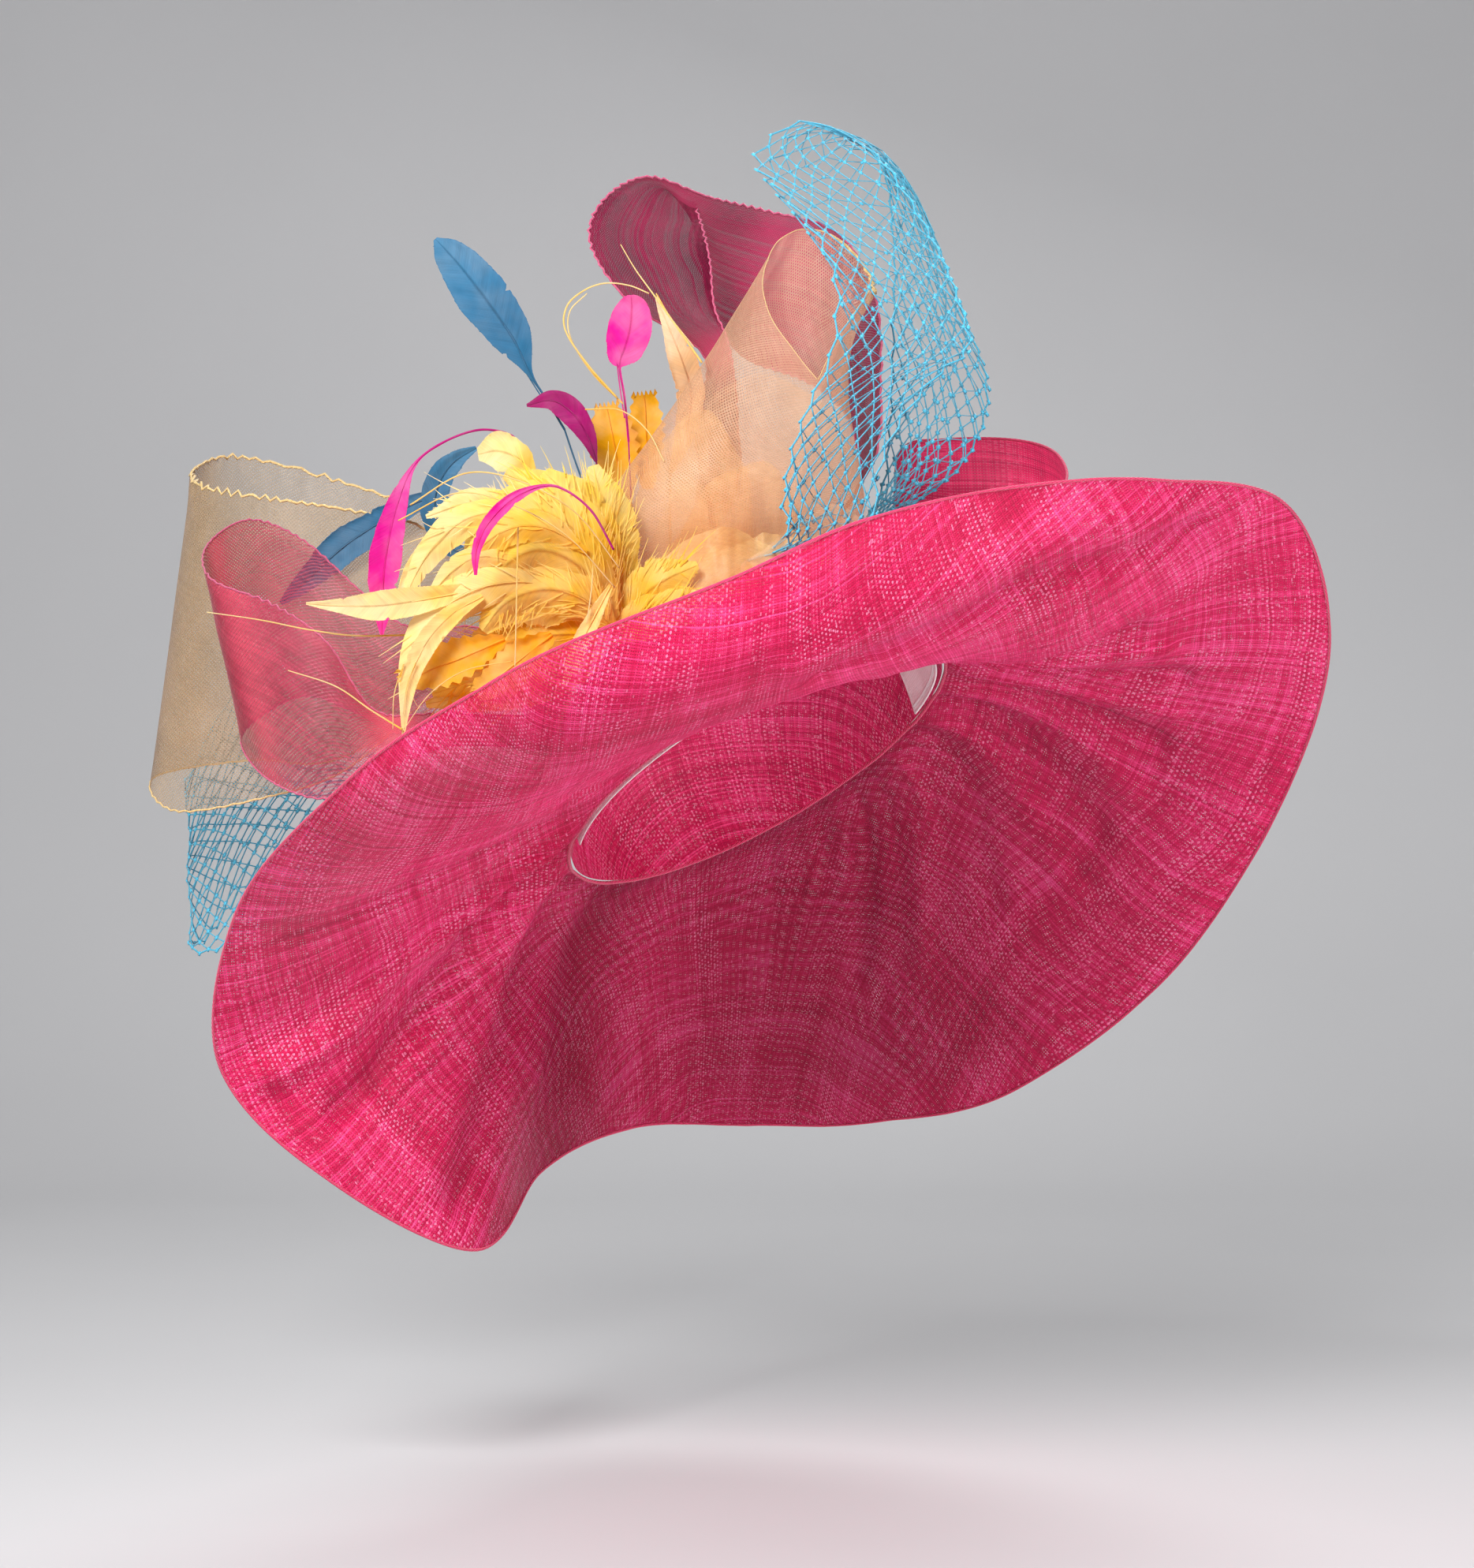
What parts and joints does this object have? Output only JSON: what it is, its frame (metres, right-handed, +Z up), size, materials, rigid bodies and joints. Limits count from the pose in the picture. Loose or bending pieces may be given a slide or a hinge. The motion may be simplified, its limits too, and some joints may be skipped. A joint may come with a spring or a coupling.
{
  "type": "sinamay hat",
  "caption": "Wide-brimmed sinamay hat, front brim rolled up and back hanging, trimmed on the left with crinoline loops, netting and feathers.",
  "frame": {"origin": "middle of the head opening, the point where the hat sits on a head held upright", "axes": "+Z up through the wearer's head; -Y towards the viewer whom the worn hat faces; +X the viewer's right, where the brim is highest"},
  "size_m": [0.5984, 0.5108, 0.5812],
  "materials": {
    "sinamay": "stiffened woven straw, two layers on the bias, satin sheen",
    "sinamay_open": "open single-layer woven straw",
    "strip": "matt woven cotton",
    "crinoline_magenta": "fine sheer crinoline, soft shine",
    "crinoline_peach": "fine sheer crinoline, soft shine",
    "net": "open diamond netting",
    "feather_gold": "soft matt feather",
    "feather_cream": "soft matt feather",
    "feather_blue": "soft matt feather",
    "feather_pink": "soft matt feather",
    "feather_purple": "soft matt feather"
  },
  "bodies": {
    "root": {"crown": "sinamay", "brim": "sinamay", "head_strip": "strip", "crinoline_loop_left": "crinoline_peach", "ribbon_loop_left": "crinoline_magenta", "ribbon_loop_top": "crinoline_magenta", "sinamay_loop": "sinamay_open", "veil_top": "net", "veil_left": "net", "crinoline_cornet": "crinoline_peach", "feather_flower": "feather_gold", "feather_blue_tall": "feather_blue", "feather_blue_left": "feather_blue", "feather_blue_curl": "feather_blue", "feather_magenta": "feather_pink", "feather_pink_curved": "feather_pink", "feather_pink_oval": "feather_pink", "feather_purple": "feather_purple", "feather_peach": "feather_cream", "petal_gold_left": "feather_gold", "petal_gold_right": "feather_gold", "petal_pale_round": "feather_cream", "feather_horn_left": "feather_cream", "feather_horn_down": "feather_cream", "feather_pale_outer": "feather_cream", "feather_diagonal": "feather_cream", "petal_toothed_lower": "feather_gold", "petal_toothed_right": "feather_gold"}
  },
  "joints": []
}
